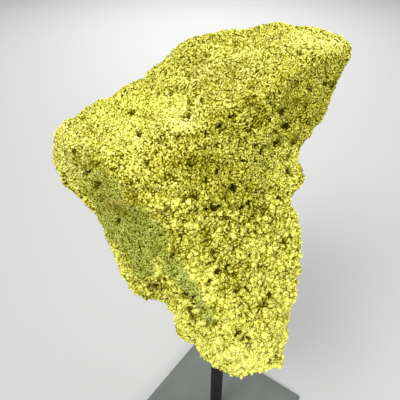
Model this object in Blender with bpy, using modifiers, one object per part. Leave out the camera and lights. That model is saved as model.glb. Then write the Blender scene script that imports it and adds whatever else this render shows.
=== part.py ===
# A lump of yellow-green nontronite held up by a plain black rod on a square plate.
# Metres, +Z up. The origin is on the rod's axis at the underside of the plate.
import math

import bmesh
import bpy
import numpy as np
from mathutils import Euler, Vector, noise

MM = 0.001

# Square plate under the rod
BASE_SIDE = 62 * MM
BASE_THICK = 4 * MM
BASE_EDGE = 0.7 * MM
BASE_TURN = math.radians(-36)

# Round rod, let into the plate below and into the stone above
ROD_RADIUS = 2.75 * MM
ROD_TOP = 126 * MM
ROD_EDGE = 0.4 * MM
ROD_SIDES = 32
FOOT_DEPTH = 2.4 * MM
FIT_GAP = 0.3 * MM
SOCKET_REACH = 40 * MM

# How the stone is held: the middle of its broad front leans back from upright
STONE_AT = Vector((-7.7, -12, 145.4)) * MM
STONE_LEAN = math.radians(-38)

# Corners of the blocks that the stone is made of, in mm in the stone's own frame:
# x to the right, y towards its back, z up along its front
BLOCKS = {
    "left lobe": (
        (-42, 3, 15), (-41, 1, 19), (-39, 1, 23), (-33, 3, 27), (-30, 4, 29), (-21, 4, 34),
        (-15, 4, 37), (-7, 2, 37), (-37, -6, 15), (-32, -9, 13), (-25, -13, 9), (-18, -14, 6),
        (-11, -14, 8), (-6, -13, 17), (-42, 4, 10), (-40, 6, 5), (-36, 7, 1), (-28, 8, -5),
        (-39, 20, 20), (-30, 23, 27), (-7, 25, 37), (-31, 20, 0), (-12, 28, 12), (-19, -13, 3),
        (-13, -13, -2), (0, 1, 1),
    ),
    "horn": (
        (-15, 5, 38), (-13, 6, 42), (-9, 8, 46), (-3, 8, 49), (4, 8, 51), (14, 8, 51),
        (21, 9, 54), (27, 9, 54), (35, 8, 52), (42, 7, 50), (45, 6, 47), (46, 7, 44),
        (40, 8, 34), (37, 9, 25), (33, 10, 18), (-6, -13, 17), (8, -14, 22), (22, -11, 32),
        (32, -5, 39), (-3, -5, 13), (1, 2, 2), (15, 3, -1), (29, 9, 12), (0, 25, 44),
        (33, 22, 47), (42, 17, 45), (34, 24, 30), (-7, 26, 14), (30, 24, 17), (0, 31, 16),
        (20, 31, 18),
    ),
    "body": (
        (-19, -13, 3), (-13, -13, -2), (-9, -10, -9), (-5, -6, -17), (4, -1, -30), (0, 4, -39),
        (-32, 8, -1), (-28, 9, -6), (-27, 10, -11), (-27, 11, -18), (-25, 12, -22), (28, 11, -6),
        (32, 12, -10), (32, 14, -21), (32, 15, -29), (28, 15, -35), (3, 4, -1), (15, 5, -2),
        (26, 9, 0), (-4, -8, 3), (-11, 8, 17), (27, 16, 16), (-14, 29, 14), (18, 33, 14),
        (4, 37, 4), (29, 29, -7), (20, 36, -14), (18, 34, -32), (27, 30, -32), (-24, 26, -7),
        (-9, 30, -31),
    ),
    "heel": (
        (-27, 11, -17), (-25, 11, -23), (-20, 12, -29), (-11, 11, -30), (-7, 10, -35),
        (-14, -3, -8), (-26, 20, -13), (-17, 23, -30), (-3, 0, -17), (-3, 20, -20),
    ),
    "toe": (
        (-9, 12, -33), (-8, 14, -41), (-4, 15, -45), (-1, 16, -49), (6, 17, -55), (12, 17, -58),
        (19, 17, -56), (25, 17, -54), (27, 17, -51), (27, 16, -42), (29, 15, -34), (4, -1, -25),
        (7, 3, -41), (18, 4, -41), (22, 3, -29), (9, 32, -41), (22, 31, -42), (14, 27, -53),
        (27, 28, -31), (18, 33, -29), (-6, 29, -29),
    ),
    "saddle": (
        (-19, -13, 3), (-13, -13, -2), (-11, -14, 8), (-6, -13, 17), (-9, -10, -9), (-1, -9, 12),
        (0, -8, 3), (-1, -6, -9), (8, -5, 11), (9, -2, 2), (6, -1, -7), (4, -13, 20), (0, 12, 3),
        (16, 3, 6),
    ),
    "right knob": (
        (31, 11, 9), (31, 11, 6), (27, 12, 1), (29, 12, 12), (21, 6, 12), (22, 6, 4),
        (28, 22, 8), (22, 14, 16), (21, 16, 0),
    ),
}

# Pits in the front: place across and up the front, radius and depth, in mm
PITS = (
    (4, -1, 2.2, 2.4), (9, 2, 1.5, 1.6), (13, -2, 1.5, 1.6), (27, 8, 1.5, 1.6), (19, 9, 1.5, 1.6),
    (25, 22, 2.0, 2.2), (24, 25, 1.6, 1.6), (5, 19, 1.6, 1.6), (9, 22, 1.5, 1.6),
    (22, 16, 1.5, 1.6), (-13, -26, 1.8, 2.0), (-5, -26, 1.6, 1.8), (1, -32, 1.5, 1.6),
    (21, -28, 1.6, 1.8), (11, -39, 1.6, 1.8), (14, -42, 1.4, 1.6), (-23, -6, 1.6, 1.6),
    (-16, 18, 1.5, 1.4),
)

# Groove between the front and the left flank, as places across and up the front
GROOVE = ((-9, -11), (-6, -19), (-3, -29), (4, -37))
GROOVE_WIDTH = 2.4
GROOVE_DEPTH = 1.0

# Relief of the stone's skin: size of the forms and how far they stand out, in mm
SWELL = 0.1
BROAD_SIZE, BROAD_RISE = 15.0, 1.5
LUMP_SIZE, LUMP_RISE = 6.0, 1.5
LEDGE_SIZE, LEDGE_RISE = 12.0, 0.5
DRIFT = 2.0
DRIFT_SHIFTS = ((0, 0, 0), (31, 0, 0), (0, 47, 0))
VOXEL = 1.15 * MM
EDGE_SOFTENING = 5
STONE_TRIANGLES = 8600


def clear_scene():
    for obj in list(bpy.data.objects):
        bpy.data.objects.remove(obj, do_unlink=True)


def new_collection(name):
    collection = bpy.data.collections.new(name)
    bpy.context.scene.collection.children.link(collection)
    return collection


def make_material(name, colour, roughness, metallic):
    material = bpy.data.materials.new(name)
    material.use_nodes = True
    shader = material.node_tree.nodes["Principled BSDF"]
    shader.inputs["Base Color"].default_value = (*colour, 1)
    shader.inputs["Roughness"].default_value = roughness
    shader.inputs["Metallic"].default_value = metallic
    material.diffuse_color = (*colour, 1)
    return material


def add_object(name, mesh, collection, material=None):
    obj = bpy.data.objects.new(name, mesh)
    collection.objects.link(obj)
    if material:
        mesh.materials.append(material)
    return obj


def add_cylinder(name, radius, bottom, top, collection, material=None):
    mesh = bpy.data.meshes.new(name)
    bm = bmesh.new()
    bmesh.ops.create_cone(
        bm, cap_ends=True, segments=ROD_SIDES, radius1=radius, radius2=radius, depth=top - bottom
    )
    bm.to_mesh(mesh)
    bm.free()
    obj = add_object(name, mesh, collection, material)
    obj.location.z = (bottom + top) / 2
    return obj


def make_cutter(obj):
    obj.hide_render = True
    obj.display_type = "WIRE"
    return obj


def cut(obj, cutter):
    modifier = obj.modifiers.new(cutter.name, "BOOLEAN")
    modifier.operation = "DIFFERENCE"
    modifier.object = cutter


def round_edges(obj, width, segments):
    bevel = obj.modifiers.new("edges", "BEVEL")
    bevel.width = width
    bevel.segments = segments
    bevel.limit_method = "ANGLE"
    bevel.angle_limit = math.radians(40)


# A plain mesh of the object as its modifiers leave it
def finished_mesh(obj):
    bpy.context.view_layer.update()
    graph = bpy.context.evaluated_depsgraph_get()
    return bpy.data.meshes.new_from_object(obj.evaluated_get(graph), depsgraph=graph)


# The stone's blocks, one convex hull each, overlapping
def blocks_mesh():
    bm = bmesh.new()
    for corners in BLOCKS.values():
        block = bmesh.new()
        for corner in corners:
            block.verts.new(Vector(corner) * MM)
        hull = bmesh.ops.convex_hull(block, input=block.verts)
        inside = [v for v in hull["geom_interior"] if isinstance(v, bmesh.types.BMVert)]
        bmesh.ops.delete(block, geom=inside, context="VERTS")
        bmesh.ops.recalc_face_normals(block, faces=block.faces)
        mesh = bpy.data.meshes.new("block")
        block.to_mesh(mesh)
        block.free()
        bm.from_mesh(mesh)
        bpy.data.meshes.remove(mesh)
    mesh = bpy.data.meshes.new("nontronite")
    bm.to_mesh(mesh)
    bm.free()
    return mesh


# The blocks grown into one closed skin with softened edges
def one_skin(obj):
    remesh = obj.modifiers.new("one skin", "REMESH")
    remesh.mode = "VOXEL"
    remesh.voxel_size = VOXEL
    soften = obj.modifiers.new("soft edges", "SMOOTH")
    soften.iterations = EDGE_SOFTENING
    mesh = finished_mesh(obj)
    obj.modifiers.clear()
    obj.data = mesh


def pit_depth(place, front):
    depth = 0
    for x, z, radius, deep in PITS:
        away = math.hypot(place.x - x, place.z - z) / radius
        depth += deep * math.exp(-(away**2))
    return depth * front


def groove_depth(place, front):
    here = Vector((place.x, place.z))
    nearest = 100
    for start, end in zip(GROOVE, GROOVE[1:]):
        run = Vector(end) - Vector(start)
        along = max(0, min(1, (here - Vector(start)).dot(run) / run.length_squared))
        nearest = min(nearest, (here - Vector(start) - run * along).length)
    return GROOVE_DEPTH * math.exp(-((nearest / GROOVE_WIDTH) ** 2)) * front


# A smooth drift in mm that keeps the lumps off a regular pattern
def drift(place):
    return Vector([noise.noise(place / BROAD_SIZE + Vector(shift)) for shift in DRIFT_SHIFTS]) * DRIFT


# How far the skin stands out at a place in mm, with broad swells, round lumps and ledges
def relief(place, normal):
    broad = noise.fractal(place / BROAD_SIZE, 0.9, 2.1, 3) * BROAD_RISE
    nearest = noise.voronoi((place + drift(place)) / LUMP_SIZE)[0]
    lumps = (0.45 - nearest[0]) * LUMP_RISE
    step = (place.z + 0.4 * place.x) / LEDGE_SIZE + noise.noise(place / BROAD_SIZE)
    rest = step - math.floor(step)
    ledges = (min(rest * 4, 1) - rest) * LEDGE_RISE
    front = max(0, min(1, -normal.y * 2))
    hollows = pit_depth(place, front) + groove_depth(place, front)
    return SWELL + broad + lumps + ledges - hollows


# The outward direction at each vertex, added up from its faces in a fixed order
def skin_normals(mesh):
    faces = np.empty((len(mesh.polygons), 3))
    mesh.polygons.foreach_get("normal", faces.ravel())
    sizes = np.empty(len(mesh.polygons), int)
    mesh.polygons.foreach_get("loop_total", sizes)
    corners = np.empty(len(mesh.loops), int)
    mesh.loops.foreach_get("vertex_index", corners)
    total = np.zeros((len(mesh.vertices), 3))
    np.add.at(total, corners, np.repeat(faces, sizes, axis=0))
    return total / np.linalg.norm(total, axis=1, keepdims=True)


def raise_relief(mesh):
    places = [v.co / MM for v in mesh.vertices]
    normals = [Vector(normal) for normal in skin_normals(mesh)]
    for vertex, place, normal in zip(mesh.vertices, places, normals):
        vertex.co = (place + normal * relief(place, normal)) * MM


def make_stone(parts, cutters, material):
    stone = add_object("nontronite", blocks_mesh(), parts)
    one_skin(stone)
    raise_relief(stone.data)
    stone.data.materials.clear()
    stone.data.materials.append(material)
    thin = stone.modifiers.new("fewer faces", "DECIMATE")
    thin.ratio = STONE_TRIANGLES / (2 * len(stone.data.polygons))
    stone.location = STONE_AT
    stone.rotation_euler = Euler((STONE_LEAN, 0, 0))
    hole = add_cylinder(
        "stone_socket", ROD_RADIUS + FIT_GAP, ROD_TOP - SOCKET_REACH, ROD_TOP + FIT_GAP, cutters
    )
    cut(stone, make_cutter(hole))
    return stone


def make_rod(parts, material):
    foot = BASE_THICK - FOOT_DEPTH + FIT_GAP
    rod = add_cylinder("stand_rod", ROD_RADIUS, foot, ROD_TOP, parts, material)
    round_edges(rod, ROD_EDGE, 2)
    rod.data.shade_smooth()
    rod.data.set_sharp_from_angle(angle=math.radians(30))
    return rod


def make_base(parts, cutters, material):
    mesh = bpy.data.meshes.new("stand_base")
    bm = bmesh.new()
    bmesh.ops.create_cube(bm, size=1)
    bmesh.ops.scale(bm, vec=(BASE_SIDE, BASE_SIDE, BASE_THICK), verts=bm.verts)
    bm.to_mesh(mesh)
    bm.free()
    base = add_object("stand_base", mesh, parts, material)
    base.location.z = BASE_THICK / 2
    base.rotation_euler = Euler((0, 0, BASE_TURN))
    round_edges(base, BASE_EDGE, 2)
    hole = add_cylinder(
        "base_socket", ROD_RADIUS + FIT_GAP, BASE_THICK - FOOT_DEPTH, 2 * BASE_THICK, cutters
    )
    cut(base, make_cutter(hole))
    return base


def main():
    clear_scene()
    parts = new_collection("nontronite_specimen")
    cutters = new_collection("cutters")
    crust = make_material("nontronite_crust", (0.58, 0.56, 0.09), 0.9, 0)
    black = make_material("black_rod", (0.012, 0.012, 0.013), 0.45, 0)
    plate = make_material("dark_plate", (0.02, 0.021, 0.023), 0.3, 0)
    make_stone(parts, cutters, crust)
    make_rod(parts, black)
    make_base(parts, cutters, plate)
    bpy.context.view_layer.update()


main()
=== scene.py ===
import math

import bmesh
import bpy
import numpy as np
from mathutils import Euler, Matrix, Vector


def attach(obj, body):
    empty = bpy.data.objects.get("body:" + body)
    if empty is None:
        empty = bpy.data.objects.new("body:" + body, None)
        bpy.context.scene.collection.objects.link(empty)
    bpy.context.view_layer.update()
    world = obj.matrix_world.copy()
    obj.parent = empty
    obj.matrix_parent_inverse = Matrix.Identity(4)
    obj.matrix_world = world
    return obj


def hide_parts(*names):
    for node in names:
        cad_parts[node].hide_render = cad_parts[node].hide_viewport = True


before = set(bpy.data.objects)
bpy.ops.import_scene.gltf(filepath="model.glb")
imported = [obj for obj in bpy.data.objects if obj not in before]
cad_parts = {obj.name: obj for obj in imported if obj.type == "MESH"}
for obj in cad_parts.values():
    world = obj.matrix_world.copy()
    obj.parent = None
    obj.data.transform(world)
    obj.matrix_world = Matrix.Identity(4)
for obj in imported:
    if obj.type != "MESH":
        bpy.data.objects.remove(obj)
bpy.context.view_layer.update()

mm = 0.001
scene = bpy.context.scene

# How the photograph was taken, with the stone's own frame: x right, y away, z up the picture, in mm
view = {
    "cameraAt": (-7.7, -112.5, 224.0),
    "pitchDown": 38.0,
    "focalPixels": 450.0,
    "imageSide": 400.0,
    "stoneAt": (-7.7, -12.0, 145.4),
    "stoneDistance": 127.6,
}


# A socket that can be used in sums; each sign adds a Math node to the same tree
class Value:
    def __init__(self, graph, socket):
        self.graph, self.socket = graph, socket

    def __add__(self, other):
        return self.graph.math("ADD", self, other)

    def __radd__(self, other):
        return self.graph.math("ADD", other, self)

    def __sub__(self, other):
        return self.graph.math("SUBTRACT", self, other)

    def __rsub__(self, other):
        return self.graph.math("SUBTRACT", other, self)

    def __mul__(self, other):
        return self.graph.math("MULTIPLY", self, other)

    def __rmul__(self, other):
        return self.graph.math("MULTIPLY", other, self)

    def __truediv__(self, other):
        return self.graph.math("DIVIDE", self, other)

    def __rtruediv__(self, other):
        return self.graph.math("DIVIDE", other, self)

    def __gt__(self, other):
        return self.graph.math("GREATER_THAN", self, other)

    def __lt__(self, other):
        return self.graph.math("LESS_THAN", self, other)

    def clamped(self):
        return self.graph.math("ADD", self, 0.0, clamp=True)

    # 0 below low, 1 above high, smooth between; low may be the larger of the two
    def ramp(self, low, high):
        settings = {"interpolation_type": "SMOOTHSTEP"}
        return self.graph.add("ShaderNodeMapRange", settings, {0: self, 1: low, 2: high, 3: 0.0, 4: 1.0})


# One node tree; add() makes a node from its type, settings and socket values or links
class Graph:
    def __init__(self, tree):
        self.tree = tree

    def add(self, kind, settings=None, values=None, out=0):
        node = self.tree.nodes.new(kind)
        for name, setting in (settings or {}).items():
            setattr(node, name, setting)
        for name, value in (values or {}).items():
            self.feed(node.inputs[name], value)
        return Value(self, node.outputs[out])

    def feed(self, socket, value):
        if isinstance(value, Value):
            self.tree.links.new(value.socket, socket)
        elif isinstance(value, list):
            for one in value:
                self.tree.links.new(one.socket, socket)
        else:
            socket.default_value = value

    def other(self, value, out):
        return Value(self, value.socket.node.outputs[out])

    def math(self, operation, *values, clamp=False):
        settings = {"operation": operation, "use_clamp": clamp}
        return self.add("ShaderNodeMath", settings, dict(enumerate(values)))

    def vector(self, operation, *values, out=0):
        return self.add("ShaderNodeVectorMath", {"operation": operation}, dict(enumerate(values)), out)

    def scaled(self, vector, factor):
        return self.add("ShaderNodeVectorMath", {"operation": "SCALE"}, {"Vector": vector, "Scale": factor})

    def mixColour(self, factor, first, second, blend="MIX"):
        settings = {"data_type": "RGBA", "blend_type": blend, "clamp_factor": True}
        return self.add("ShaderNodeMix", settings, {0: factor, 6: first, 7: second}, 2)

    def mixNumber(self, factor, first, second):
        return self.add("ShaderNodeMix", {"data_type": "FLOAT"}, {0: factor, 2: first, 3: second}, 0)

    def noise(self, place, perMm, detail=2.0, rough=0.5, out="Fac"):
        values = {"Vector": place, "Scale": perMm, "Detail": detail, "Roughness": rough}
        return self.add("ShaderNodeTexNoise", {"noise_dimensions": "3D"}, values, out)

    def cells(self, place, perMm, feature="F1"):
        return self.add("ShaderNodeTexVoronoi", {"feature": feature}, {"Vector": place, "Scale": perMm})

    # One random number from 0 to 1 for each cell
    def luck(self, cell):
        return self.add("ShaderNodeSeparateXYZ", None, {0: self.other(cell, "Color")})

    # A random way for each place, with parts from -0.5 to 0.5
    def drift(self, place, perMm, detail=1.0):
        return self.vector("SUBTRACT", self.noise(place, perMm, detail, out="Color"), (0.5, 0.5, 0.5))

    def bent(self, place, perMm, width, detail=1.0):
        return self.vector("ADD", place, self.scaled(self.drift(place, perMm, detail), width))


def newObject(name, mesh):
    obj = bpy.data.objects.new(name, mesh)
    scene.collection.objects.link(obj)
    return obj


# The object as its modifiers leave it, as a plain mesh with none left on it
def settle(obj):
    bpy.context.view_layer.update()
    graph = bpy.context.evaluated_depsgraph_get()
    mesh = bpy.data.meshes.new_from_object(obj.evaluated_get(graph), depsgraph=graph)
    obj.modifiers.clear()
    old = obj.data
    obj.data = mesh
    bpy.data.meshes.remove(old)
    return mesh


def nodeModifier(obj, tree, inputs):
    modifier = obj.modifiers.new(tree.name, "NODES")
    modifier.node_group = tree
    for item in tree.interface.items_tree:
        if item.in_out == "INPUT" and item.name in inputs:
            modifier[item.identifier] = inputs[item.name]


# A tree with one named input for each value in the dictionary
def newTree(name, inputs):
    tree = bpy.data.node_groups.new(name, "GeometryNodeTree")
    tree.interface.new_socket("Geometry", in_out="INPUT", socket_type="NodeSocketGeometry")
    for label, value in inputs.items():
        kind = "NodeSocketInt" if isinstance(value, int) else "NodeSocketFloat"
        tree.interface.new_socket(label, in_out="INPUT", socket_type=kind)
    tree.interface.new_socket("Geometry", in_out="OUTPUT", socket_type="NodeSocketGeometry")
    graph = Graph(tree)
    source = tree.nodes.new("NodeGroupInput")
    given = {socket.name: Value(graph, socket) for socket in source.outputs if socket.name}
    return tree, graph, given


def finishTree(graph, geometry):
    end = graph.tree.nodes.new("NodeGroupOutput")
    graph.feed(end.inputs[0], geometry)


def attribute(graph, name, kind="FLOAT"):
    return graph.add("GeometryNodeInputNamedAttribute", {"data_type": kind}, {"Name": name})


def keepAttribute(graph, geometry, name, value, domain="POINT", kind="FLOAT"):
    settings = {"data_type": kind, "domain": domain}
    values = {"Geometry": geometry, "Name": name, "Value": value}
    return graph.add("GeometryNodeStoreNamedAttribute", settings, values)


def dropAttribute(graph, geometry, name):
    return graph.add("GeometryNodeRemoveAttribute", None, {"Geometry": geometry, "Name": name})


def chance(graph, seed):
    return graph.add("FunctionNodeRandomValue", {"data_type": "FLOAT"}, {2: 0.0, 3: 1.0, 8: seed}, 1)


def chanceVector(graph, seed, low, high):
    values = {0: (low,) * 3, 1: (high,) * 3, 8: seed}
    return graph.add("FunctionNodeRandomValue", {"data_type": "FLOAT_VECTOR"}, values)


# Where things are on the stone
lean = Euler((math.radians(-view["pitchDown"]), 0, 0)).to_matrix()
leanArray = np.array(lean)


def toStone(places):
    return (places / mm - np.array(view["stoneAt"])) @ leanArray


# Where a point of the stone's own frame shows in the photograph, in pixels
def toPicture(local):
    away = view["stoneDistance"] + local[:, 1]
    half = view["imageSide"] / 2
    across = half + view["focalPixels"] * local[:, 0] / away
    down = half - view["focalPixels"] * local[:, 2] / away
    return across, down


def step(low, high, x):
    t = np.clip((x - low) / (high - low), 0, 1)
    return t * t * (3 - 2 * t)


def meshArray(items, name, width, kind=np.float32):
    values = np.empty(len(items) * width, kind)
    items.foreach_get(name, values)
    return values.reshape(-1, width) if width > 1 else values


def writeAttribute(mesh, name, values):
    layer = mesh.attributes.new(name, "FLOAT", "POINT")
    layer.data.foreach_set("value", np.asarray(values, np.float32))


# Vertex normals averaged over the neighbourhood, in the stone's own frame
def broadNormals(mesh, rounds):
    corners = meshArray(mesh.loops, "vertex_index", 1, np.int32)
    sizes = meshArray(mesh.polygons, "loop_total", 1, np.int32)
    faces = np.repeat(meshArray(mesh.polygons, "normal", 3), sizes, axis=0).astype(float)
    normals = np.zeros((len(mesh.vertices), 3))
    np.add.at(normals, corners, faces)
    edges = meshArray(mesh.edges, "vertices", 2, np.int32)
    for _ in range(rounds):
        total = normals.copy()
        np.add.at(total, edges[:, 0], normals[edges[:, 1]])
        np.add.at(total, edges[:, 1], normals[edges[:, 0]])
        normals = total / np.linalg.norm(total, axis=1, keepdims=True)
    return normals @ leanArray


# The stone is one body with its lumps, and the grains that cover it; lengths are in mm
body = {
    "voxel": 0.55,
    "softening": 8,
    "normalRounds": 14,  # how far the broad normals look around them
    "frontEdge": 0.35,  # how far a face turns to the camera until it is wholly front
    "relief": {
        "Inset": 0.5,
        "Cluster size": 5.2,
        "Cluster rise": 0.55,
        "Lump size": 2.1,
        "Lump rise": 0.5,
        "Fine size": 1.5,
        "Fine rise": 0.26,
        "Bend": 3.0,
        "Pore every": 3.4,
        "Pore depth": 1.0,
        "Pit depth": 1.8,
        "Highest": 0.15,
    },
    "bendPerMm": 0.22,
    "pitStretch": (1.25, 0.85),
    "pitTurn": 137,  # degrees from each pit to the next
    "nudgeReach": 8.0,  # pixels
    "lowerHalf": (162, 218),  # pixels down, where coarse ground starts and where it is full
    "upperCoarseness": 0.33,  # 0 fine, 1 as coarse as the lower half
    "backCoarseness": 0.5,
    "hornFront": (295, 125, 40, 40, 0.2),  # a patch that is coarser
    "rodClear": 3.0,
    "rodTop": 127.0,
}

# The larger dark pores, by where they show in the photograph and how wide they are, in pixels
pores = (
    (288, 126, 7), (283, 111, 3), (276, 143, 3), (276, 132, 3), (232, 117, 4), (219, 127, 4), (206, 133, 4),
    (326, 85, 3), (311, 90, 3), (253, 105, 3), (218, 173, 4), (234, 189, 5), (193, 167, 4),
    (207, 181, 3), (258, 192, 4), (279, 198, 4), (289, 172, 3), (257, 146, 3), (205, 148, 3), (208, 209, 4),
    (215, 209, 5), (220, 207, 3), (242, 207, 3), (249, 204, 3), (231, 214, 3), (186, 221, 4), (237, 248, 5),
    (208, 241, 3), (254, 225, 4), (285, 242, 4), (217, 272, 4), (228, 268, 4), (259, 268, 4), (276, 275, 3),
    (237, 290, 4), (226, 294, 3), (270, 295, 5), (276, 298, 4), (278, 307, 3), (240, 318, 4), (238, 335, 5),
    (250, 346, 4), (184, 295, 4), (192, 299, 4), (207, 324, 2), (139, 133, 4), (97, 184, 2),
    (88, 173, 2.5), (73, 152, 4), (96, 163, 3), (62, 141, 2), (146, 162, 4), (166, 174, 3), (154, 153, 2),
    (113, 170, 2), (117, 222, 3), (172, 256, 3), (157, 288, 2), (165, 217, 3), (195, 267, 3), (178, 137, 2),
    (308, 123, 3), (245, 163, 3), (183, 114, 3), (300, 51, 3), (314, 60, 4),
)

# Where no pore but the listed ones opens, with the reach in pixels
closed = (
    (191, 312, 9), (187, 111, 10), (333, 80, 7), (66, 176, 8), (294, 142, 6), (125, 112, 24), (75, 130, 18),
    (100, 130, 20), (163, 134, 5),
)

# Ridges and, with less than no height, grooves: height and half width in pixels, and their run
folds = (
    (1.6, 6, ((338, 54), (312, 61), (292, 71), (272, 87), (245, 96), (228, 111))),
    (1.3, 5, ((84, 140), (92, 155), (106, 170), (124, 184))),
    (1.3, 4, ((100, 197), (125, 205), (150, 207), (170, 207))),
    (1.6, 4, ((154, 256), (160, 272), (163, 284))),
    (1.2, 6, ((118, 252), (125, 275), (138, 292), (158, 297))),
    (1.6, 5, ((165, 119), (185, 129), (203, 125))),
    (1.3, 6, ((181, 258), (194, 280), (216, 313))),
    (-1.6, 4.5, ((170, 254), (177, 274), (190, 290), (204, 308))),
    (-1.5, 3, ((60, 150), (66, 164), (74, 176))),
    (-1.8, 5, ((75, 150), (88, 171), (98, 187))),
    (-1.6, 4, ((174, 137), (190, 140), (202, 136))),
    (-1.8, 4, ((205, 209), (222, 207), (248, 205))),
    (-1.6, 4, ((122, 213), (140, 215), (166, 213))),
)

# Small swellings and dents of the rim: place in the photograph and how far out, in pixels
rimNudges = (
    (63, 184, 2.2), (59, 174, 0.6), (55, 128, 2.7), (86, 106, 3.9), (108, 96, -2.8), (144, 76, -1.2),
    (160, 62, -1.2), (181, 42, 2.4), (200, 35, -2.6), (240, 28, -1.0), (254, 26, -2.2), (279, 21, 1.4),
    (306, 26, 0.5), (341, 36, 3.4), (336, 85, -4.6), (330, 96, -5.2), (326, 106, 2.7), (301, 150, -2.4),
    (301, 164, 3.3), (305, 182, 2.6), (291, 204, -3.3), (296, 282, -5.0), (289, 322, -2.1), (290, 311, -0.2),
    (285, 350, 0.9), (273, 368, 2.2), (255, 374, -2.0), (183, 339, 1.7), (174, 318, -1.7), (163, 302, -2.8),
    (150, 299, -1.8), (126, 284, -0.2), (117, 265, -2.2), (86, 205, 3.2), (101, 225, -1.0), (193, 347, -2.3),
    (292, 308, -0.4), (116, 272, -0.8), (311, 136, 3.1), (189, 35, 3.0), (79, 198, 1.8), (90, 211, 1.0),
    (62, 121, 2.0), (96, 100, 0.3), (297, 292, -0.7), (156, 301, -0.9), (304, 252, 0.8), (282, 366, 2.6),
    (134, 294, 0.8), (168, 307, 0.8), (203, 360, 1.8), (305, 266, 1.7), (70, 190, 1.0), (56, 165, -1.2),
    (53, 139, 1.3), (79, 113, -0.8), (152, 68, 1.0), (167, 56, -1.2), (173, 48, 1.4), (208, 33, 1.4),
    (270, 22, 0.8), (297, 26, -1.3), (340, 77, 1.0), (321, 122, 0.9), (301, 230, -0.7), (300, 240, -1.1),
    (300, 248, -1.2), (264, 370, -1.1), (237, 377, -0.9), (228, 373, -1.4), (212, 364, -1.7), (219, 370, 0.9),
    (198, 350, -2.3), (142, 296, -1.4), (111, 251, -1.0), (114, 258, -0.8), (350, 56, 1.2), (343, 69, -1.2),
)

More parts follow.
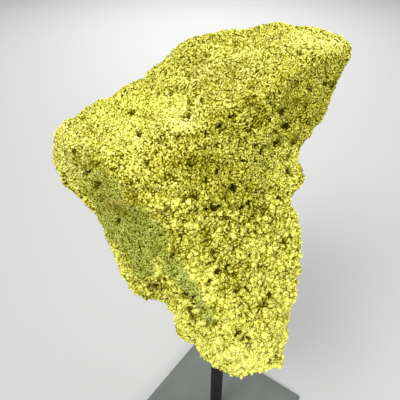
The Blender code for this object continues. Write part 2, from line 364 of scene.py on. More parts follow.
# Patches by place, half width and half height in pixels, and strength
patches = {
    # Paler crust, which on the horn's top, the left end and the toe is partly painted light
    "pale": (
        (182, 118, 20, 14, 1.0), (150, 140, 40, 14, 0.3), (315, 40, 34, 11, 0.8), (75, 128, 22, 18, 0.35),
        (222, 72, 50, 24, 0.6), (235, 355, 30, 14, 0.3), (110, 130, 40, 24, 0.1), (72, 162, 16, 22, 0.65),
        (106, 203, 5, 1.5, 0.8), (114, 205, 5, 1.5, 0.8), (121, 208, 5, 1.5, 0.8),
    ),
    "tan": (
        (114, 203, 13, 5, 0.9), (160, 213, 6, 4, 0.5), (153, 286, 6, 4, 1.0), (270, 36, 8, 5, 0.5),
        (142, 158, 7, 4, 0.4),
    ),
    # Painted shade where the strength is above 0, and painted light where it is below
    "shade": (
        # Broad painted shade
        (300, 104, 18, 16, 0.15), (214, 176, 20, 20, 0.2), (215, 78, 36, 20, 0.35), (265, 80, 22, 8, 0.12),
        (250, 100, 16, 8, 0.2), (86, 158, 14, 10, 0.35), (102, 176, 9, 10, 0.15), (68, 166, 12, 16, 0.25),
        (132, 200, 20, 8, 0.3), (175, 265, 9, 20, 0.2), (195, 292, 7, 10, 0.2), (222, 112, 26, 14, 0.2),
        (190, 160, 20, 12, 0.25), (230, 200, 22, 9, 0.3), (132, 198, 14, 8, 0.35), (180, 150, 12, 8, 0.25),
        (204, 174, 10, 8, 0.3), (156, 246, 10, 8, 0.3), (228, 270, 12, 8, 0.15), (300, 102, 10, 8, 0.25),
        (238, 255, 42, 30, 0.1), (225, 226, 34, 12, 0.05), (252, 222, 10, 8, 0.05), (185, 247, 14, 10, 0.4),
        (228, 270, 10, 8, 0.4), (276, 285, 10, 16, 0.2), (262, 235, 24, 20, 0.05), (278, 296, 10, 14, 0.15),
        (108, 128, 16, 10, 0.3), (206, 174, 8, 8, 0.3), (228, 198, 8, 8, 0.3), (302, 174, 8, 8, 0.6),
        (302, 102, 8, 8, 0.35), (228, 364, 10, 8, 0.45), (228, 342, 10, 8, 0.2),
        # Painted shade in small hollows and creases
        (154, 286, 6, 4, 0.8), (234, 46, 3, 7, 0.8), (192, 54, 3, 5, 0.6), (204, 54, 5, 5, 0.6),
        (196, 62, 5, 4, 0.8), (246, 62, 4, 4, 1.0), (233, 73, 5, 6, 1.1), (207, 86, 3, 5, 1.2),
        (194, 90, 3, 4, 0.6), (170, 102, 8, 3, 0.5), (202, 101, 3, 4, 0.6), (267, 72, 8, 3, 0.5),
        (248, 98, 4, 5, 0.8), (218, 70, 5, 3, 0.8), (161, 127, 5, 4, 0.4), (164, 139, 4, 4, 0.6),
        (176, 137, 6, 3, 0.7), (190, 137, 8, 3, 0.7), (184, 153, 5, 4, 0.5), (222, 118, 6, 4, 0.7),
        (211, 116, 3, 3, 0.5), (233, 128, 3, 4, 0.6), (256, 146, 4, 6, 0.5), (75, 158, 3, 9, 1.2),
        (94, 163, 6, 4.5, 1.3), (88, 173, 3, 3, 0.4), (97, 184, 3, 3, 0.5), (107, 173, 3, 5, 0.5),
        (147, 163, 5, 4, 0.6), (154, 182, 5, 4, 0.35), (166, 174, 3, 5, 0.4), (167, 199, 4, 3, 0.4),
        (139, 132, 3, 3, 0.6), (130, 110, 4, 3, 0.5), (148, 107, 3, 3, 0.5), (158, 157, 6, 4, 0.2),
        (166, 103, 5, 3, 0.5), (63, 142, 3, 3, 0.5), (206, 233, 7, 5, 0.6), (256, 226, 5, 6, 0.6),
        (243, 236, 4, 5, 0.5), (285, 242, 5, 5, 0.6), (224, 268, 8, 3, 0.6), (243, 272, 5, 4, 0.5),
        (222, 288, 4, 6, 0.4), (203, 312, 4, 5, 0.6), (263, 286, 8, 4, 0.4), (208, 209, 7, 3, 0.6),
        (156, 294, 8, 6, 0.4), (300, 296, 6, 10, 0.1), (132, 198, 10, 6, 0.35), (113, 209, 9, 2.5, 0.4),
        (102, 198, 3, 7, 0.3), (103, 171, 3, 6, 0.4),
        # Painted light, with less than no strength, and fewer small pores: the crests, the rim and the toe
        (132, 240, 20, 14, -0.1), (320, 38, 34, 9, -0.3), (130, 108, 40, 14, -0.35),
        (120, 145, 34, 10, -0.2), (240, 355, 46, 20, -0.8), (205, 320, 30, 30, -0.4),
        (270, 300, 20, 40, -0.35), (158, 268, 6, 10, -0.5), (145, 292, 20, 5, -0.4),
        (293, 250, 7, 50, -0.35), (296, 180, 7, 22, -0.5), (122, 268, 6, 22, -0.5), (282, 330, 9, 34, -0.5),
        (278, 182, 14, 8, -0.3), (195, 268, 16, 14, -0.4), (252, 366, 30, 9, -0.9),
        (180, 316, 12, 12, -0.7), (206, 282, 14, 22, -0.5), (134, 126, 10, 10, -0.3),
        (164, 102, 24, 9, -0.4), (62, 172, 10, 12, -0.4), (276, 270, 12, 40, -0.3),
        (125, 130, 32, 16, -0.4), (182, 117, 20, 13, -0.7), (312, 38, 30, 10, -0.4),
        (70, 165, 14, 20, -0.33), (160, 192, 26, 16, -0.15), (220, 104, 14, 4, -0.5),
        (185, 127, 8, 4, -0.4), (145, 102, 36, 10, -0.6), (180, 98, 12, 12, -0.3), (60, 128, 10, 12, -0.6),
        (130, 126, 14, 10, -0.5), (228, 52, 26, 8, -0.4), (276, 30, 12, 6, -0.5), (272, 56, 12, 8, -0.3),
        (176, 78, 12, 10, -0.5), (108, 150, 10, 10, -0.55), (132, 172, 12, 10, -0.4),
        (178, 270, 12, 10, -0.4), (204, 296, 10, 12, -0.4), (276, 174, 10, 8, -0.4),
        (252, 252, 10, 12, -0.4), (252, 278, 10, 14, -0.3), (300, 224, 6, 10, -0.6),
        (176, 268, 16, 10, -0.35), (166, 104, 26, 8, -0.4), (130, 122, 14, 8, -0.4), (216, 52, 22, 8, -0.4),
        (60, 126, 8, 8, -0.3), (105, 120, 30, 20, -0.3), (322, 80, 8, 10, -0.6), (288, 150, 14, 8, -0.3),
        (276, 102, 8, 8, -0.45), (204, 198, 8, 8, -0.6), (180, 176, 8, 8, -0.45), (276, 114, 10, 14, -0.3),
        (154, 270, 8, 10, -0.3), (192, 222, 16, 8, -0.3), (228, 222, 10, 8, -0.3),
        (252, 246, 10, 10, -0.25), (252, 294, 10, 10, -0.3), (228, 318, 10, 10, -0.3),
        (66, 134, 5, 5, -0.7), (211, 253, 7, 6, -0.6), (114, 202, 11, 2.5, -0.7),
    ),
}

# The green, finer flank: its middle line in the photograph, half width in pixels and strength
flankRoute = (
    (68, 160, 14, 0.15), (88, 174, 16, 0.3), (104, 190, 15, 0.6), (112, 214, 17, 0.9), (124, 226, 24, 1.0),
    (142, 240, 27, 1.0), (152, 252, 22, 1.0), (142, 262, 17, 0.8), (172, 266, 12, 0.9), (184, 281, 9, 0.9),
    (197, 300, 8, 0.8), (209, 319, 7, 0.7),
)

# Yellow runs through the flank: half width in pixels, and their line
flankGaps = (
    (6, ((112, 248), (120, 268), (134, 292))),
    (4, ((156, 260), (159, 272), (164, 284))),
)


# Painted shade in zones with clear edges: strength, half the width of their edge in pixels, and their outline
zones = (
    (0.45, 4, (
        (344, 56), (326, 54), (308, 60), (300, 68), (286, 72), (274, 84), (262, 92), (244, 96), (240, 108),
        (252, 124), (268, 132), (280, 148), (300, 148), (320, 122), (334, 98), (344, 74),
    )),
    (0.33, 5, (
        (164, 160), (188, 156), (204, 148), (226, 150), (240, 164), (262, 174), (282, 190), (268, 202),
        (250, 211), (206, 213), (196, 198), (184, 182),
    )),
    (0.4, 3, ((174, 134), (192, 136), (206, 130), (208, 140), (196, 144), (178, 143))),
    (0.3, 4, ((206, 108), (238, 104), (240, 124), (214, 134), (200, 130))),
    (0.35, 3, ((100, 197), (124, 208), (148, 211), (170, 208), (168, 216), (140, 220), (110, 212))),
    (0.3, 4, ((176, 52), (206, 50), (210, 62), (184, 66))),
)


def patchMask(across, down, rows):
    mask = np.zeros(len(across))
    for x, y, wide, high, strength in rows:
        mask += strength * np.exp(-(((across - x) / wide) ** 2) - ((down - y) / high) ** 2)
    return mask


# How far places are from a line of points, and which of its parts is the nearest
def lineDistance(across, down, line):
    nearest = np.full(len(across), np.inf)
    where = np.zeros(len(across))
    for number, ((x0, y0), (x1, y1)) in enumerate(zip(line, line[1:])):
        along = ((across - x0) * (x1 - x0) + (down - y0) * (y1 - y0)) / ((x1 - x0) ** 2 + (y1 - y0) ** 2)
        along = np.clip(along, 0, 1)
        away = np.hypot(across - x0 - along * (x1 - x0), down - y0 - along * (y1 - y0))
        where = np.where(away < nearest, number + along, where)
        nearest = np.minimum(nearest, away)
    return nearest, where


# 1 inside a closed outline and 0 outside, with a soft edge
def zoneMask(across, down, soft, outline):
    ring = outline + outline[:1]
    away = lineDistance(across, down, ring)[0]
    inside = np.zeros(len(across), bool)
    for (x0, y0), (x1, y1) in zip(ring, ring[1:]):
        if y0 != y1:
            crossing = x0 + (down - y0) * (x1 - x0) / (y1 - y0)
            inside ^= ((down < y0) != (down < y1)) & (across < crossing)
    return step(-soft, soft, np.where(inside, away, -away))


# Strength near a line that widens and narrows, fading over its edge
def routeMask(across, down, route):
    away, where = lineDistance(across, down, [point[:2] for point in route])
    number = np.arange(len(route))
    wide = np.interp(where, number, [point[2] for point in route])
    much = np.interp(where, number, [point[3] for point in route])
    return much * step(1.25, 0.65, away / wide)


# 1 where the body faces the camera, and its broad normals
def facing(mesh):
    normals = broadNormals(mesh, body["normalRounds"])
    return step(0.0, body["frontEdge"], -normals[:, 1]), normals


# Moves the ridges, grooves and the rim's swellings and dents out and in along the broad normals
def pushForms(mesh):
    places = meshArray(mesh.vertices, "co", 3).astype(float)
    local = toStone(places)
    front, normals = facing(mesh)
    across, down = toPicture(local)
    push = np.zeros(len(local))
    for height, wide, line in folds:
        away = lineDistance(across, down, line)[0]
        push += height * np.exp(-((away / wide) ** 2))
    push *= front
    for x, y, out in rimNudges:
        push += out * np.exp(-((across - x) ** 2 + (down - y) ** 2) / body["nudgeReach"] ** 2)
    pixel = (view["stoneDistance"] + local[:, 1]) / view["focalPixels"]
    places += (normals * (push * pixel)[:, None]) @ leanArray.T * mm
    mesh.vertices.foreach_set("co", places.ravel())
    mesh.update()


# 1 in the listed pores, which are long and turned in various ways, and wider on coarse ground
def pitMask(across, down, coarse):
    pit = np.zeros(len(across))
    longer, narrower = body["pitStretch"]
    for number, (x, y, wide) in enumerate(pores):
        reach = 0.45 * wide + 0.2 + 0.8 * coarse
        turn = math.radians(body["pitTurn"] * number)
        along = (across - x) * math.cos(turn) + (down - y) * math.sin(turn)
        beside = (down - y) * math.cos(turn) - (across - x) * math.sin(turn)
        pit = np.maximum(pit, np.exp(-((along / reach / longer) ** 2) - (beside / reach / narrower) ** 2))
    return pit


# What the trees and the finishes read at each point of the body; "wild" is above 0 where pores open
def writeMasks(mesh):
    local = toStone(meshArray(mesh.vertices, "co", 3).astype(float))
    front = facing(mesh)[0]
    across, down = toPicture(local)
    flank = routeMask(across, down, flankRoute) * front
    for wide, line in flankGaps:
        flank *= 1 - np.exp(-((lineDistance(across, down, line)[0] / wide) ** 2))
    upper = body["upperCoarseness"] + patchMask(across, down, [body["hornFront"]])
    lower = step(*body["lowerHalf"], down) * (1 - flank)
    coarse = front * np.maximum(lower, upper) + (1 - front) * body["backCoarseness"]
    pit = pitMask(across, down, coarse)
    wild = 1 - 1.5 * front
    for x, y, reach in closed:
        wild -= 2 * np.exp(-((across - x) ** 2 + (down - y) ** 2) / reach**2) * front
    masks = {"flank": flank, "coarse": coarse * (1 - 0.8 * flank), "pit": pit * front, "wild": wild}
    for name, rows in patches.items():
        masks[name] = patchMask(across, down, rows) * front
    for strength, soft, outline in zones:
        masks["shade"] += strength * zoneMask(across, down, soft, outline) * front
    for name, values in masks.items():
        writeAttribute(mesh, name, values)


# Lumps, pores and pits, as a height along the normals
def reliefTree():
    tree, graph, given = newTree("crustRelief", body["relief"])
    place = graph.scaled(graph.add("GeometryNodeInputPosition"), 1 / mm)
    bent = graph.bent(place, body["bendPerMm"], given["Bend"], 2.0)
    coarse, flank, pit, wild = (attribute(graph, name) for name in ("coarse", "flank", "pit", "wild"))

    def dome(size, reach, rise):
        away = graph.cells(bent, 1 / size) / reach
        return (1 - away * away) * rise

    clusters = dome(given["Cluster size"], 0.6, given["Cluster rise"])
    lumps = dome(given["Lump size"], 0.62, given["Lump rise"])
    fine = dome(given["Fine size"], 0.62, given["Fine rise"])
    height = coarse * (clusters + lumps) + (1 - coarse) * (fine + 0.3 * clusters)
    height = height * (1 - 0.25 * flank)
    cell = graph.cells(bent, 1 / given["Pore every"])
    pore = cell.ramp(0.24, 0.08) * (graph.luck(cell) + 0.35 * wild).ramp(0.75, 0.95)
    pore = pore * (0.35 + 0.65 * coarse) * (1 - 0.8 * flank)
    height = height - pore * given["Pore depth"] - pit * given["Pit depth"] - given["Inset"]
    height = graph.math("MINIMUM", height, given["Highest"])
    normal = graph.add("GeometryNodeInputNormal")
    values = {"Geometry": given["Geometry"], "Offset": graph.scaled(normal, height * mm)}
    moved = graph.add("GeometryNodeSetPosition", None, values)
    # How deep a place lies in pores, pits and low ground; the finishes turn this into painted shade
    low = (0 - (height + given["Inset"])).ramp(-0.1, 0.55)
    deep = graph.math("MAXIMUM", graph.math("MAXIMUM", pore, pit.ramp(0.3, 0.9)), low * 0.8)
    finishTree(graph, keepAttribute(graph, moved, "deep", deep))
    return tree


def makeBody():
    mesh = bpy.data.meshes.new("crust_body")
    bm = bmesh.new()
    bm.from_mesh(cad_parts["nontronite"].data)
    bmesh.ops.remove_doubles(bm, verts=bm.verts, dist=0.001 * mm)
    bm.to_mesh(mesh)
    bm.free()
    obj = newObject("crust_body", mesh)
    remesh = obj.modifiers.new("fine skin", "REMESH")
    remesh.mode = "VOXEL"
    remesh.voxel_size = body["voxel"] * mm
    remesh.use_smooth_shade = True
    soften = obj.modifiers.new("soften", "SMOOTH")
    soften.iterations = body["softening"]
    pushForms(settle(obj))
    writeMasks(obj.data)
    nodeModifier(obj, reliefTree(), body["relief"])
    mesh = settle(obj)
    clearRod(mesh)
    print("stone body", len(mesh.vertices), "points")
    return obj


# Keeps the socket's wall off the rod
def clearRod(mesh):
    places = meshArray(mesh.vertices, "co", 3)
    away = np.hypot(places[:, 0], places[:, 1])
    near = (away < body["rodClear"] * mm) & (places[:, 2] < body["rodTop"] * mm)
    places[near, :2] *= (body["rodClear"] * mm / away[near])[:, None]
    mesh.vertices.foreach_set("co", places.ravel())
    mesh.update()


smallPore = {"every": 1.9, "wide": 0.6, "bend": 2.2, "bendPerMm": 0.8, "share": 0.55}  # mm


# 1 inside the small pores; the trees leave out grains there and the ground's colour gets painted shade there
def smallPores(graph, place, coarse, flank, shade):
    bent = graph.bent(place, smallPore["bendPerMm"], smallPore["bend"])
    cell = graph.cells(bent, 1 / smallPore["every"])
    reach = smallPore["wide"] / smallPore["every"] * (0.68 + 0.47 * coarse)
    share = smallPore["share"] - 0.25 * (1 - coarse) + 0.2 * flank - 0.4 * (0 - shade).clamped()
    return (cell / reach).ramp(1.15, 0.7) * (graph.luck(cell) < share)


# Nodules stand on the body, and crumbs on the nodules and the body
grains = {
    # Lengths in mm, and crumbs to a square mm
    "inputs": {
        "Fine spacing": 0.51,
        "Middle spacing": 0.62,
        "Coarse spacing": 1.35,
        "Fine radius": 0.47,
        "Middle radius": 0.56,
        "Coarse radius": 1.05,
        "Size spread": 0.35,
        "Sink": 0.42,
        "Fine crumbs": 0.4,
        "Coarse crumbs": 3.4,
        "Ground crumbs": 1.6,
        "Fine crumb radius": 0.22,
        "Coarse crumb radius": 0.32,
        "Crumb spread": 0.5,
        "Seed": 11,
        "Part": 0.0,
    },
    "classEdges": (0.3, 0.7),
    "raggedness": 0.5,
    "mostPerM2": 6.0e6,  # points tried before the spacing thins them
    "shapes": 5,  # kinds of ball
    "stretch": (0.72, 1.28),
    "pieces": 8,
}


# A lumpy ball; sides of 0 gives twenty faces, and more gives a plainer crumb with that many corners
def grainShape(graph, number, sides, lumpiness):
    if sides:
        values = {"Segments": sides, "Rings": 2, "Radius": 1.0}
        ball = graph.add("GeometryNodeMeshUVSphere", None, values)
    else:
        ball = graph.add("GeometryNodeMeshIcoSphere", None, {"Radius": 1.0, "Subdivisions": 1})
    place = graph.add("GeometryNodeInputPosition")
    shifted = graph.vector("ADD", place, (7.3 * number, 1.7, 4.1))
    values = {"Geometry": ball, "Offset": graph.scaled(graph.drift(shifted, 0.9), lumpiness)}
    return graph.add("GeometryNodeSetPosition", None, values)


# Turns a cloud of points into lumpy balls of the size in the attribute "grain"; their own height
# and that of what they stand on make the attribute "rise", from -1 or so up to 1
def growBalls(graph, cloud, sides, lumpiness, seed, ownShare):
    shapes = []
    for number in range(grains["shapes"]):
        ball = grainShape(graph, number, sides, lumpiness)
        shapes.append(graph.add("GeometryNodeGeometryToInstance", None, {0: ball}))
    shapes = graph.add("GeometryNodeJoinGeometry", None, {"Geometry": shapes})
    values = {4: 0, 5: grains["shapes"] - 1, 8: seed}
    which = graph.add("FunctionNodeRandomValue", {"data_type": "INT"}, values, 2)
    size = graph.scaled(chanceVector(graph, seed + 1, *grains["stretch"]), attribute(graph, "grain"))
    placed = graph.add("GeometryNodeInstanceOnPoints", None, {
        "Points": cloud, "Instance": shapes, "Pick Instance": True, "Instance Index": which,
        "Rotation": chanceVector(graph, seed + 2, 0.0, 2 * math.pi), "Scale": size,
    })
    placed = keepAttribute(graph, placed, "tint", chance(graph, seed + 3), "INSTANCE")
    real = graph.add("GeometryNodeRealizeInstances", None, {"Geometry": placed})
    home, up = (attribute(graph, name, "FLOAT_VECTOR") for name in ("home", "up"))
    offset = graph.vector("SUBTRACT", graph.add("GeometryNodeInputPosition"), home)
    own = graph.vector("DOT_PRODUCT", offset, up, out="Value") / attribute(graph, "grain")
    return keepAttribute(graph, real, "rise", own * ownShare + attribute(graph, "rise") * (1 - ownShare))


# Notes where each point stands and which way is out, and sinks it a little
def plant(graph, points, normal, radius, sink):
    points = keepAttribute(graph, points, "grain", radius)
    home = graph.add("GeometryNodeInputPosition")
    points = keepAttribute(graph, points, "home", home, kind="FLOAT_VECTOR")
    points = keepAttribute(graph, points, "up", normal, kind="FLOAT_VECTOR")
    values = {"Geometry": points, "Offset": graph.scaled(normal, 0 - radius * sink)}
    return graph.add("GeometryNodeSetPosition", None, values)


# Three sizes of nodules, each on its own ground, and crumbs on them and between the coarse ones; only
# those of one part of the stone are kept
def grainTree(material):
    tree, graph, given = newTree("crustGrains", grains["inputs"])
    coarse, deep, flank, part, shade, pit = (
        attribute(graph, name) for name in ("coarse", "deep", "flank", "part", "shade", "pit")
    )
    place = graph.scaled(graph.add("GeometryNodeInputPosition"), 1 / mm)
    ragged = coarse + grains["raggedness"] * (graph.noise(place, 0.35, 2.0, 0.6) - 0.5)
    low, high = grains["classEdges"]
    kinds = {
        "Fine": ragged < low,
        "Middle": (ragged > low) * (ragged < high),
        "Coarse": ragged > high,
    }
    away = graph.math("ABSOLUTE", part - given["Part"]) > 0.5
    lost = graph.math("MAXIMUM", away, smallPores(graph, place, coarse, flank, shade) > 0.5)
    lost = graph.math("MAXIMUM", lost, pit > 0.5)
    clouds = []
    for number, (name, chosen) in enumerate(kinds.items()):
        points = graph.add("GeometryNodeDistributePointsOnFaces", {"distribute_method": "POISSON"}, {
            "Mesh": given["Geometry"],
            "Selection": chosen,
            "Distance Min": given[name + " spacing"] * mm,
            "Density Max": grains["mostPerM2"],
            "Density Factor": (deep - pit).ramp(0.95, 0.45),
            "Seed": given["Seed"],
        })
        normal = graph.other(points, "Normal")
        values = {"Geometry": points, "Selection": lost}
        kept = graph.add("GeometryNodeDeleteGeometry", {"domain": "POINT"}, values)
        spread = 1 + given["Size spread"] * (2 * chance(graph, 31 + number) - 1)
        radius = given[name + " radius"] * mm * spread
        clouds.append(plant(graph, kept, normal, radius, given["Sink"]))
    small = graph.add("GeometryNodeJoinGeometry", None, {"Geometry": clouds[:2]})
    small = growBalls(graph, small, 4, 1.3, 5, 1.0)
    large = growBalls(graph, clouds[2], 0, 1.3, 25, 1.0)
    nodules = graph.add("GeometryNodeJoinGeometry", None, {"Geometry": [small, large]})
    nodules = keepAttribute(graph, nodules, "crumb", 0.0)
    bare = keepAttribute(graph, given["Geometry"], "crumb", 1.0)
    bare = keepAttribute(graph, bare, "rise", 0.0)
    base = graph.add("GeometryNodeJoinGeometry", None, {"Geometry": [nodules, bare]})
    many = graph.mixNumber(coarse, given["Fine crumbs"], given["Coarse crumbs"])
    onGround = given["Ground crumbs"] * (ragged > high) * (1 - graph.math("MINIMUM", away, 1.0))
    many = graph.mixNumber(attribute(graph, "crumb"), many * (attribute(graph, "rise") > 0.0), onGround)
    points = graph.add("GeometryNodeDistributePointsOnFaces", {"distribute_method": "RANDOM"}, {
        "Mesh": base, "Density": many * 1.0e6, "Seed": given["Seed"] + 1,
    })
    normal = graph.other(points, "Normal")
    usual = graph.mixNumber(coarse, given["Fine crumb radius"], given["Coarse crumb radius"])
    spread = 1 + given["Crumb spread"] * (2 * chance(graph, 41) - 1)
    radius = usual * mm * spread * (1 - 0.2 * flank)
    crumbs = growBalls(graph, plant(graph, points, normal, radius, 0.1), 4, 1.0, 15, 0.55)
    crumbs = keepAttribute(graph, crumbs, "crumb", 1.0)
    real = graph.add("GeometryNodeJoinGeometry", None, {"Geometry": [nodules, crumbs]})
    for name in ("crumb", "grain", "part", "pit", "wild"):
        real = dropAttribute(graph, real, name)
    real = graph.add("GeometryNodeSetShadeSmooth", None, {"Geometry": real, "Shade Smooth": False})
    finishTree(graph, graph.add("GeometryNodeSetMaterial", None, {"Geometry": real, "Material": material}))
    return tree


tiles = {
    "upperShare": 0.7,  # of a tile's width
    "grainReach": 2.1,  # radians
    "bodyReach": 1.8,
    "aside": (0.31, 0.87, 0.38),  # a way that hardly any normal has
}


# Sectors round the stone with about the same number of grains in each, and two opposite ones to a piece
def writeParts(mesh):
    local = toStone(meshArray(mesh.vertices, "co", 3).astype(float))
    coarse = meshArray(mesh.attributes["coarse"].data, "value", 1)
    low, high = grains["classEdges"]
    fine, middle, large = (grains["inputs"][kind + " spacing"] for kind in ("Fine", "Middle", "Coarse"))
    spacing = np.select([coarse < low, coarse < high], [fine, middle], large)
    weight = 1 / spacing**2
    around = np.arctan2(local[:, 0], local[:, 1])
    order = np.argsort(around, kind="stable")
    share = np.cumsum(weight[order]) / weight.sum()
    sectors = 2 * grains["pieces"]
    edges = np.interp(np.arange(1, sectors) / sectors, share, around[order])
    writeAttribute(mesh, "part", np.searchsorted(edges, around) % grains["pieces"])


def takeAttribute(mesh, name):
    values = meshArray(mesh.attributes[name].data, "vector", 3).astype(float)
    mesh.attributes.remove(mesh.attributes[name])
    return values


# The map named OFBake that baked pictures go by. What has one home has one tile: its upper faces are on
# the left as seen from above, out to those at the side, and its lower faces on the right
def layTiles(mesh, home, up, widest):
    places = meshArray(mesh.vertices, "co", 3).astype(float)
    number = np.append(0, np.cumsum(np.any(home[1:] != home[:-1], axis=1)))
    many = np.bincount(number)
    middle = np.stack([np.bincount(number, places[:, axis]) for axis in range(3)], 1) / many[:, None]
    way = places - middle[number]
    way /= np.linalg.norm(way, axis=1, keepdims=True)
    aside = np.cross(up, tiles["aside"])
    aside /= np.linalg.norm(aside, axis=1, keepdims=True)
    turn = np.arctan2((way * np.cross(up, aside)).sum(1), (way * aside).sum(1))
    polar = np.arccos(np.clip((way * up).sum(1), -1, 1))
    corners = meshArray(mesh.loops, "vertex_index", 1, np.int32)
    sizes = meshArray(mesh.polygons, "loop_total", 1, np.int32)
    starts = meshArray(mesh.polygons, "loop_start", 1, np.int32)
    lower = np.repeat(np.add.reduceat(polar[corners], starts) / sizes > math.pi / 2, sizes)
    reach = np.where(lower, math.pi - polar[corners], polar[corners]) / widest
    reach = np.minimum(reach, 1)
    half = np.where(lower, (1 - tiles["upperShare"]) / 2, tiles["upperShare"] / 2)
    centre = np.where(lower, 1 - half, half)
    side = math.ceil(math.sqrt(len(many)))
    tile = number[corners]
    u = (tile % side + centre + half * reach * np.cos(turn[corners])) / side
    v = (tile // side + 0.5 + 0.5 * reach * np.sin(turn[corners])) / side
    layer = mesh.uv_layers.new(name="OFBake")
    layer.data.foreach_set("uv", np.stack([u, v], 1).astype(np.float32).ravel())


def makeGrains(ground, material):
    writeParts(ground.data)
    tree = grainTree(material)
    made = []
    for number in range(grains["pieces"]):
        obj = newObject(f"crust_grains_{number + 1}", ground.data.copy())
        nodeModifier(obj, tree, {**grains["inputs"], "Part": float(number)})
        mesh = settle(obj)
        layTiles(mesh, takeAttribute(mesh, "home"), takeAttribute(mesh, "up"), tiles["grainReach"])
        print("grains", number + 1, len(mesh.polygons), "faces")
        made.append(obj)
    return made


crust = {
    "bright": (0.86, 0.855, 0.22, 1),
    "middle": (0.52, 0.51, 0.056, 1),
    "pale": (0.87, 0.85, 0.34, 1),
    "green": (0.66, 0.735, 0.85, 1),  # a tint
    "tan": (0.48, 0.38, 0.12, 1),
    # Painted shade colours: the shadow's tint and the crevices' dark
    "shadow": (0.42, 0.385, 0.06, 1),  # what half darkness leaves of a colour
    "creviceShade": (0.045, 0.038, 0.0006, 1),
    "roughness": 0.95,
    "specular": 0.0,
}


def newMaterial(name):
    material = bpy.data.materials.new(name)
    material.use_nodes = True
    return material, Graph(material.node_tree), material.node_tree.nodes["Principled BSDF"]


def shaderAttribute(graph, name):
    return graph.add("ShaderNodeAttribute", {"attribute_name": name}, None, "Fac")


# A place on the object, in mm
def shaderPlace(graph):
    return graph.scaled(graph.add("ShaderNodeTexCoord", None, None, "Object"), 1 / mm)


# Depth in mm is what heights from 0 to 1 stand for
def roughen(graph, shader, heights, strength, depth):
    values = {"Strength": strength, "Distance": depth * mm, "Height": heights}
    graph.feed(shader.inputs["Normal"], graph.add("ShaderNodeBump", None, values, "Normal"))


# The crust's own yellow-green, from dull to bright as light rises, with its pale, green and tan places; the
# light that callers give holds painted highlights as well as the crust's own tone
def crustColour(graph, light):
    place = shaderPlace(graph)
    flank, pale, tan = (shaderAttribute(graph, name) for name in ("flank", "pale", "tan"))
    patchy = graph.noise(place, 0.7, 2.0, 0.6)
    colour = graph.mixColour(light, crust["middle"], crust["bright"])
    colour = graph.mixColour(pale * patchy.ramp(0.3, 0.6), colour, crust["pale"])
    colour = graph.mixColour(patchy.ramp(0.6, 0.72) * 0.35, colour, crust["pale"])
    edge = (flank + 0.8 * (patchy - 0.5)).ramp(0.0, 0.9)
    colour = graph.mixColour(edge, colour, crust["green"], "MULTIPLY")
    colour = graph.mixColour(tan * 0.8, colour, crust["tan"])
    stain = graph.noise(graph.vector("ADD", place, (40.0, 0.0, 0.0)), 0.5, 2.0, 0.6).ramp(0.66, 0.74)
    return graph.mixColour(stain * 0.35, colour, crust["tan"])


# Painted shade from 0 to 1 turns a colour deeper and greener first, as yellow light between grains does, and
# then towards the crevices' painted dark
def darken(graph, dark, colour):
    colour = graph.mixColour((2 * dark).clamped(), colour, crust["shadow"], "MULTIPLY")
    return graph.mixColour((2 * dark - 1).clamped(), colour, crust["creviceShade"])


def finishCrust(graph, shader, place):
    roughen(graph, shader, graph.noise(place, 3.0, 2.0, 0.65), 0.5, 0.2)
    shader.inputs["Roughness"].default_value = crust["roughness"]
    shader.inputs["Specular IOR Level"].default_value = crust["specular"]


pinhole = {"every": 1.15, "bend": 1.6, "bendPerMm": 1.1, "dark": 0.8}  # mm


# 1 inside the pinholes and short creases that are finer than the grains, where the grains get painted shade
def pinholes(graph, place):
    cell = graph.cells(graph.bent(place, pinhole["bendPerMm"], pinhole["bend"]), 1 / pinhole["every"])
    return cell.ramp(0.36, 0.2) * graph.luck(cell).ramp(0.25, 0.5)


crease = {
    "fineEvery": 1.5,  # mm
    "coarseEvery": 2.5,
    "wide": (0.06, 0.2),  # from the middle, where it is full and where it ends
    "bend": 0.9,
    "bendPerMm": 0.9,
    "fineDark": 0.3,
    "coarseDark": 0.45,
}


# 1 in the thin creases that part the crust's curds, where the grains get painted shade
def creases(graph, place, every):
    bent = graph.bent(place, crease["bendPerMm"], crease["bend"], 2.0)
    full, end = crease["wide"]
    return graph.cells(bent, 1 / every, "DISTANCE_TO_EDGE").ramp(end / every, full / every)


# What each cause adds to a grain's brightness or darkness, from 0 to 1; the tips get a painted highlight, and
# the feet, pores and specks painted shade
grainLook = {
    "light": 0.13,
    "tint": 0.75,  # how unlike its neighbours a grain is
    "patchy": 0.8,
    "broad": 0.6,
    "speck": 2.4,
    "tipHighlight": 0.35,
    "foot": (0.6, 0.35, -0.2),  # fine ground, and what coarse ground and the flank add
    "pore": (0.2, 0.5),  # shallow and deep
    "flankCalm": 0.75,
    "flankDark": 0.2,
    "speckDark": 0.4,
    "mottle": (0.6, -0.2),  # fine ground, and what coarse ground adds
}
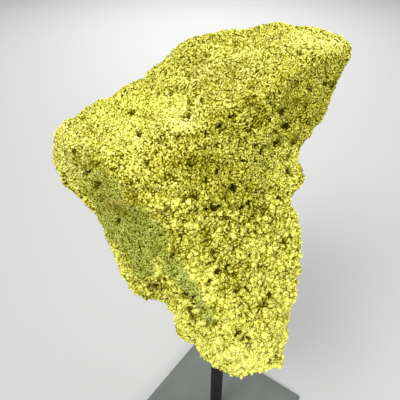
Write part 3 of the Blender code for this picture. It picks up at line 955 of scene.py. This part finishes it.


# Painted light and shade: grains are painted bright at their tips and dark where they meet the ground, in
# pores, pinholes and creases, and under the shade patches
def grainMaterial():
    material, graph, shader = newMaterial("crust_grain")
    place = shaderPlace(graph)
    deep, shade, tint, rise = (shaderAttribute(graph, name) for name in ("deep", "shade", "tint", "rise"))
    coarse, flank = shaderAttribute(graph, "coarse"), shaderAttribute(graph, "flank")
    patchy = graph.noise(place, 0.7, 2.0, 0.6)
    broad = graph.noise(place, 0.16, 3.0, 0.6)
    speck = graph.noise(place, 1.8, 1.0, 0.5)
    light = grainLook["light"] - 0.08 * coarse + grainLook["tint"] * tint
    light = light + grainLook["patchy"] * (patchy - 0.5) + grainLook["broad"] * (broad - 0.5)
    light = light + grainLook["speck"] * (speck - 0.5) + grainLook["tipHighlight"] * rise
    colour = crustColour(graph, light.clamped())
    mottle = graph.noise(graph.vector("ADD", place, (0.0, 30.0, 0.0)), 0.32, 2.0, 0.6)
    low = rise + 0.62 * (1 - coarse)
    usual, onCoarse, onFlank = grainLook["foot"]
    shallow, deepest = grainLook["pore"]
    dark = (usual + onCoarse * coarse + onFlank * flank) * low.ramp(0.36, -0.24)
    dark = dark + shallow * deep + deepest * deep.ramp(0.45, 0.9)
    calm = 1 - grainLook["flankCalm"] * flank
    dark = dark + pinhole["dark"] * pinholes(graph, place) * (1 - 0.75 * coarse) * calm
    fine = creases(graph, place, crease["fineEvery"]) * (1 - coarse).ramp(0.2, 0.7)
    dark = dark + crease["fineDark"] * fine * calm + grainLook["flankDark"] * flank
    dark = dark + crease["coarseDark"] * creases(graph, place, crease["coarseEvery"]) * coarse.ramp(0.3, 0.7)
    usual, onCoarse = grainLook["mottle"]
    dark = dark + grainLook["speckDark"] * speck.ramp(0.45, 0.3) * calm
    dark = dark + (usual + onCoarse * coarse) * (mottle - 0.5)
    # The shade mask adds painted shade, and where it is below 0 painted light
    dark = dark * (1 - 0.4 * (0 - shade).clamped()) + shade * (0.35 + 1.1 * (0.5 - patchy))
    graph.feed(shader.inputs["Base Color"], darken(graph, dark, colour))
    finishCrust(graph, shader, place)
    return material


# The ground that shows between the grains, painted dark as shade in pores and deep places and at the edges of
# painted crumbs, whose middles are painted lighter
def groundMaterial():
    material, graph, shader = newMaterial("crust_ground")
    place = shaderPlace(graph)
    names = ("deep", "flank", "coarse", "shade")
    deep, flank, coarse, shade = (shaderAttribute(graph, name) for name in names)
    pore = smallPores(graph, place, coarse, flank, shade)
    speck = graph.noise(place, 1.6, 2.0, 0.6)
    crumbs = graph.cells(graph.bent(place, 1.5, 0.8), 1.5)
    colour = crustColour(graph, (1.1 - 1.6 * crumbs).clamped())
    dark = 0.25 - 0.1 * flank + 0.7 * crumbs.ramp(0.3, 0.7) + 0.6 * (0.5 - speck) + 0.9 * deep + 0.45 * pore
    dark = dark * (1 - 0.4 * (0 - shade).clamped())
    graph.feed(shader.inputs["Base Color"], darken(graph, dark, colour))
    finishCrust(graph, shader, place)
    return material


# The rod and the plate
steel = {
    "rodColour": (0.006, 0.0062, 0.0056, 1),
    "rodDust": (0.018, 0.019, 0.018, 1),
    "plateColour": (0.085, 0.093, 0.087, 1),
    "plateDust": (0.14, 0.148, 0.14, 1),
    "fleck": (0.34, 0.35, 0.33, 1),
}


def rodMaterial():
    material, graph, shader = newMaterial("rod_black")
    place = shaderPlace(graph)
    turned = graph.add("ShaderNodeMapping", None, {"Vector": place, "Scale": (0.6, 0.6, 6.0)})
    lines = graph.noise(turned, 1.4, 3.0, 0.6)
    cloud = graph.noise(place, 0.15, 3.0, 0.6)
    colour = graph.mixColour(cloud.ramp(0.45, 0.75) * 0.7, steel["rodColour"], steel["rodDust"])
    graph.feed(shader.inputs["Base Color"], colour)
    shader.inputs["Specular IOR Level"].default_value = 0.2
    graph.feed(shader.inputs["Roughness"], 0.42 + 0.16 * lines)
    roughen(graph, shader, lines, 0.25, 0.03)
    return material


def plateMaterial():
    material, graph, shader = newMaterial("plate_dark")
    place = shaderPlace(graph)
    cloud = graph.noise(place, 0.05, 4.0, 0.6)
    dust = graph.noise(place, 3.0, 1.0, 0.5).ramp(0.68, 0.76)
    colour = graph.mixColour(cloud.ramp(0.4, 0.8) * 0.4, steel["plateColour"], steel["plateDust"])
    colour = graph.mixColour(dust * 0.5, colour, steel["fleck"])
    graph.feed(shader.inputs["Base Color"], colour)
    graph.feed(shader.inputs["Roughness"], 0.42 + 0.16 * cloud + 0.2 * dust)
    shader.inputs["Specular IOR Level"].default_value = 0.22
    roughen(graph, shader, graph.noise(place, 1.2, 3.0), 0.15, 0.02)
    return material


# Floor, light and camera
studio = {
    "floorSide": 6.0,
    "floorColour": (0.36, 0.36, 0.357, 1),
    "worldColour": (0.97, 0.98, 1.0, 1),
    "worldStrength": 0.3,
    # name: place in m, size in m, power in W
    "lamps": {
        "key": ((-0.35, -0.45, 0.85), 0.4, 10.65),
        "right": ((0.7, -0.15, 0.5), 0.35, 3.3),
        "front": ((0.4, -0.8, 0.3), 0.4, 2.3),
        "back": ((0.0, 0.8, 0.55), 0.4, 9.0),
    },
    "aim": (-0.006, 0.0, 0.14),
}


def setStudio():
    mesh = bpy.data.meshes.new("floor")
    half = studio["floorSide"] / 2
    corners = [(-half, -half, 0), (half, -half, 0), (half, half, 0), (-half, half, 0)]
    mesh.from_pydata(corners, [], [(0, 1, 2, 3)])
    floor = newObject("floor", mesh)
    material, graph, shader = newMaterial("floor_pale")
    shader.inputs["Base Color"].default_value = studio["floorColour"]
    shader.inputs["Roughness"].default_value = 0.7
    mesh.materials.append(material)
    world = bpy.data.worlds.new("studio")
    world.use_nodes = True
    sky = world.node_tree.nodes["Background"]
    sky.inputs["Color"].default_value = studio["worldColour"]
    sky.inputs["Strength"].default_value = studio["worldStrength"]
    scene.world = world
    for name, (place, size, power) in studio["lamps"].items():
        lamp = bpy.data.lights.new(name, "AREA")
        lamp.size = size
        lamp.energy = power
        obj = newObject(name, lamp)
        obj.location = place
        way = Vector(studio["aim"]) - Vector(place)
        obj.rotation_euler = way.to_track_quat("-Z", "Y").to_euler()


def setCamera():
    camera = bpy.data.cameras.new("camera")
    camera.sensor_width = 36
    camera.lens = 36 * view["focalPixels"] / view["imageSide"]
    camera.clip_start = 0.01
    obj = newObject("camera", camera)
    obj.location = Vector(view["cameraAt"]) * mm
    obj.rotation_euler = Euler((math.radians(90 - view["pitchDown"]), 0, 0))
    scene.camera = obj


def dressStand():
    for name, material in (("stand_rod", rodMaterial()), ("stand_base", plateMaterial())):
        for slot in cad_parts[name].material_slots:
            slot.material = material
    print("stand dressed")


def main():
    scene.view_settings.view_transform = "Standard"
    setCamera()
    setStudio()
    dressStand()
    stone = makeBody()
    stone.data.materials.clear()
    stone.data.materials.append(groundMaterial())
    pieces = [stone] + makeGrains(stone, grainMaterial())
    towards = lean @ Vector((0, -1, 0))
    many = len(stone.data.vertices)
    layTiles(stone.data, np.zeros((many, 3)), np.tile(towards, (many, 1)), tiles["bodyReach"])
    for piece in pieces:
        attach(piece, "root")
    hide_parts("nontronite")
    print("pieces", len(pieces), "view transform", scene.view_settings.view_transform)


main()
